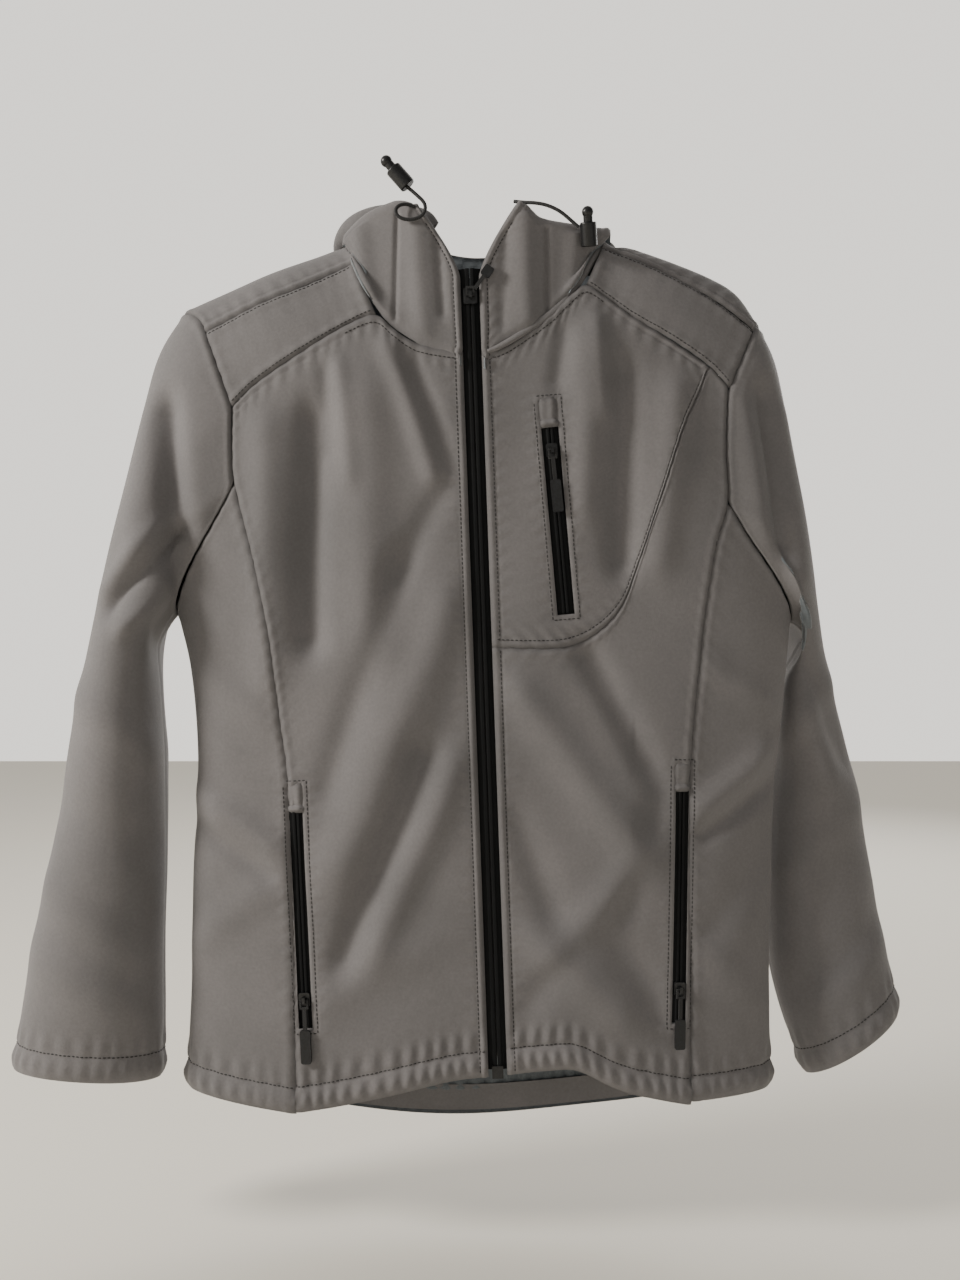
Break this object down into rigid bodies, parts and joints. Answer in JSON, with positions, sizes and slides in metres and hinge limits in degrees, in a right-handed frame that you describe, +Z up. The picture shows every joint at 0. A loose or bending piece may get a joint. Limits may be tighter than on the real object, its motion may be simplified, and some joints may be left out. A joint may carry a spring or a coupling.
{
  "type": "hooded soft-shell jacket",
  "caption": "Hooded zip-front soft-shell jacket hung by its loop, with chest and hand pockets, yokes, curved seams and cord locks on the hood.",
  "frame": {"origin": "in the gap of the hang loop at the inside of the back neck, where a hook carries the jacket", "axes": "+Z up, +X the wearer's left, the front of the jacket faces -Y"},
  "size_m": [0.752, 0.1455, 0.8032],
  "materials": {
    "softshell": "woven stretch face, matte",
    "zip_tape": "woven polyester tape, black",
    "zip_teeth": "moulded, black",
    "slider_metal": "die cast, black enamel",
    "pull_cord": "braided cord, black",
    "pull_grip": "moulded soft plastic, black",
    "pocket_mesh": "knitted mesh, grey",
    "garage_fabric": "bonded face fabric",
    "fleece_back": "brushed fleece, grey",
    "loop_tape": "woven tape, black",
    "label_satin": "woven satin, blank",
    "drawcord": "braided elastic cord, black",
    "lock_body": "moulded, black",
    "lock_plunger": "moulded, black",
    "spring_wire": "drawn wire"
  },
  "bodies": {
    "torso": {"back_panel": "softshell", "back_yoke": "softshell", "chest_pocket_bag": "pocket_mesh", "chest_pocket_garage": "garage_fabric", "chest_zip_coil": "zip_teeth", "chest_zip_tape": "zip_tape", "hang_loop": "loop_tape", "hem_facing": "fleece_back", "left_chest_panel": "softshell", "left_drawcord": "drawcord", "left_front_panel": "softshell", "left_hand_pocket_bag": "pocket_mesh", "left_hand_pocket_garage": "garage_fabric", "left_hand_zip_coil": "zip_teeth", "left_hand_zip_tape": "zip_tape", "left_hood_panel": "softshell", "left_lock_barrel": "lock_body", "left_shoulder_yoke": "softshell", "left_side_panel": "softshell", "lock_springs": "spring_wire", "main_zip_box": "zip_teeth", "main_zip_tape_left": "zip_tape", "main_zip_tape_right": "zip_tape", "main_zip_teeth_left": "zip_teeth", "main_zip_teeth_right": "zip_teeth", "neck_label": "label_satin", "right_drawcord": "drawcord", "right_front_panel": "softshell", "right_hand_pocket_bag": "pocket_mesh", "right_hand_pocket_garage": "garage_fabric", "right_hand_zip_coil": "zip_teeth", "right_hand_zip_tape": "zip_tape", "right_hood_panel": "softshell", "right_lock_barrel": "lock_body", "right_shoulder_yoke": "softshell", "right_side_panel": "softshell", "storm_flap": "fleece_back"},
    "main_slider": {"main_zip_slider": "slider_metal"},
    "main_pull": {"main_zip_pull": "pull_cord", "main_zip_grip": "pull_grip"},
    "chest_slider": {"chest_zip_slider": "slider_metal"},
    "chest_pull": {"chest_zip_pull": "pull_cord", "chest_zip_grip": "pull_grip"},
    "right_hand_slider": {"right_hand_zip_slider": "slider_metal"},
    "right_hand_pull": {"right_hand_zip_pull": "pull_cord", "right_hand_zip_grip": "pull_grip"},
    "left_hand_slider": {"left_hand_zip_slider": "slider_metal"},
    "left_hand_pull": {"left_hand_zip_pull": "pull_cord", "left_hand_zip_grip": "pull_grip"},
    "right_upper_arm": {"right_upper_sleeve": "softshell"},
    "right_forearm": {"right_forearm_sleeve": "softshell", "right_cuff_facing": "fleece_back"},
    "left_upper_arm": {"left_upper_sleeve": "softshell"},
    "left_forearm": {"left_forearm_sleeve": "softshell", "left_cuff_facing": "fleece_back"},
    "hood": {"hood_back": "softshell"},
    "right_lock_button": {"right_lock_plunger": "lock_plunger"},
    "left_lock_button": {"left_lock_plunger": "lock_plunger"}
  },
  "joints": [
    {"name": "main_zip_run", "type": "slide", "parent": "torso", "child": "main_slider", "axis": [0.0356, 0, -0.9994], "range_m": [0, 0.609]},
    {"name": "main_pull_swing", "type": "hinge", "parent": "main_slider", "child": "main_pull", "pos_m": [-0.0059, -0.088, -0.02849], "axis": [0.9994, 0, 0.0356], "range_deg": [0, 165]},
    {"name": "chest_zip_run", "type": "slide", "parent": "torso", "child": "chest_slider", "axis": [0.0875, 0.0018, -0.9962], "range_m": [-0.008, 0.119]},
    {"name": "chest_pull_swing", "type": "hinge", "parent": "chest_slider", "child": "chest_pull", "pos_m": [0.0598, -0.08762, -0.15243], "axis": [-0.996, -0.0182, -0.0875], "range_deg": [0, 110]},
    {"name": "right_hand_zip_run", "type": "slide", "parent": "torso", "child": "right_hand_slider", "axis": [0.0496, -0.0074, -0.9987], "range_m": [-0.138, 0.01]},
    {"name": "right_hand_pull_swing", "type": "hinge", "parent": "right_hand_slider", "child": "right_hand_pull", "pos_m": [-0.14001, -0.08317, -0.5953], "axis": [-0.9933, 0.1039, -0.0501], "range_deg": [0, 110]},
    {"name": "left_hand_zip_run", "type": "slide", "parent": "torso", "child": "left_hand_slider", "axis": [-0.0162, 0, -0.9999], "range_m": [-0.147, 0.015]},
    {"name": "left_hand_pull_swing", "type": "hinge", "parent": "left_hand_slider", "child": "left_hand_pull", "pos_m": [0.16407, -0.08078, -0.58749], "axis": [-0.9912, -0.1313, 0.0161], "range_deg": [0, 110]},
    {"name": "right_shoulder_swing", "type": "hinge", "parent": "torso", "child": "right_upper_arm", "pos_m": [-0.246, -0.038, -0.031], "axis": [0, 1, 0], "range_deg": [0, 45]},
    {"name": "right_elbow_bend", "type": "hinge", "parent": "right_upper_arm", "child": "right_forearm", "pos_m": [-0.298, -0.0845, -0.3775], "axis": [-0.848, 0, 0.53], "range_deg": [0, 60]},
    {"name": "left_shoulder_swing", "type": "hinge", "parent": "torso", "child": "left_upper_arm", "pos_m": [0.237, -0.038, -0.045], "axis": [0, -1, 0], "range_deg": [0, 45]},
    {"name": "left_elbow_bend", "type": "hinge", "parent": "left_upper_arm", "child": "left_forearm", "pos_m": [0.281, -0.0425, -0.367], "axis": [-0.666, 0, -0.746], "range_deg": [0, 60]},
    {"name": "hood_lift", "type": "hinge", "parent": "torso", "child": "hood", "pos_m": [0, 0.013, 0.05], "axis": [1, 0, 0], "range_deg": [0, 100]},
    {"name": "right_lock_press", "type": "slide", "parent": "torso", "child": "right_lock_button", "axis": [0.6644, 0, -0.7474], "range_m": [0, 0.003], "stiffness_N_per_m": 400},
    {"name": "left_lock_press", "type": "slide", "parent": "torso", "child": "left_lock_button", "axis": [0.0788, 0.3152, -0.9457], "range_m": [0, 0.003], "stiffness_N_per_m": 400}
  ]
}
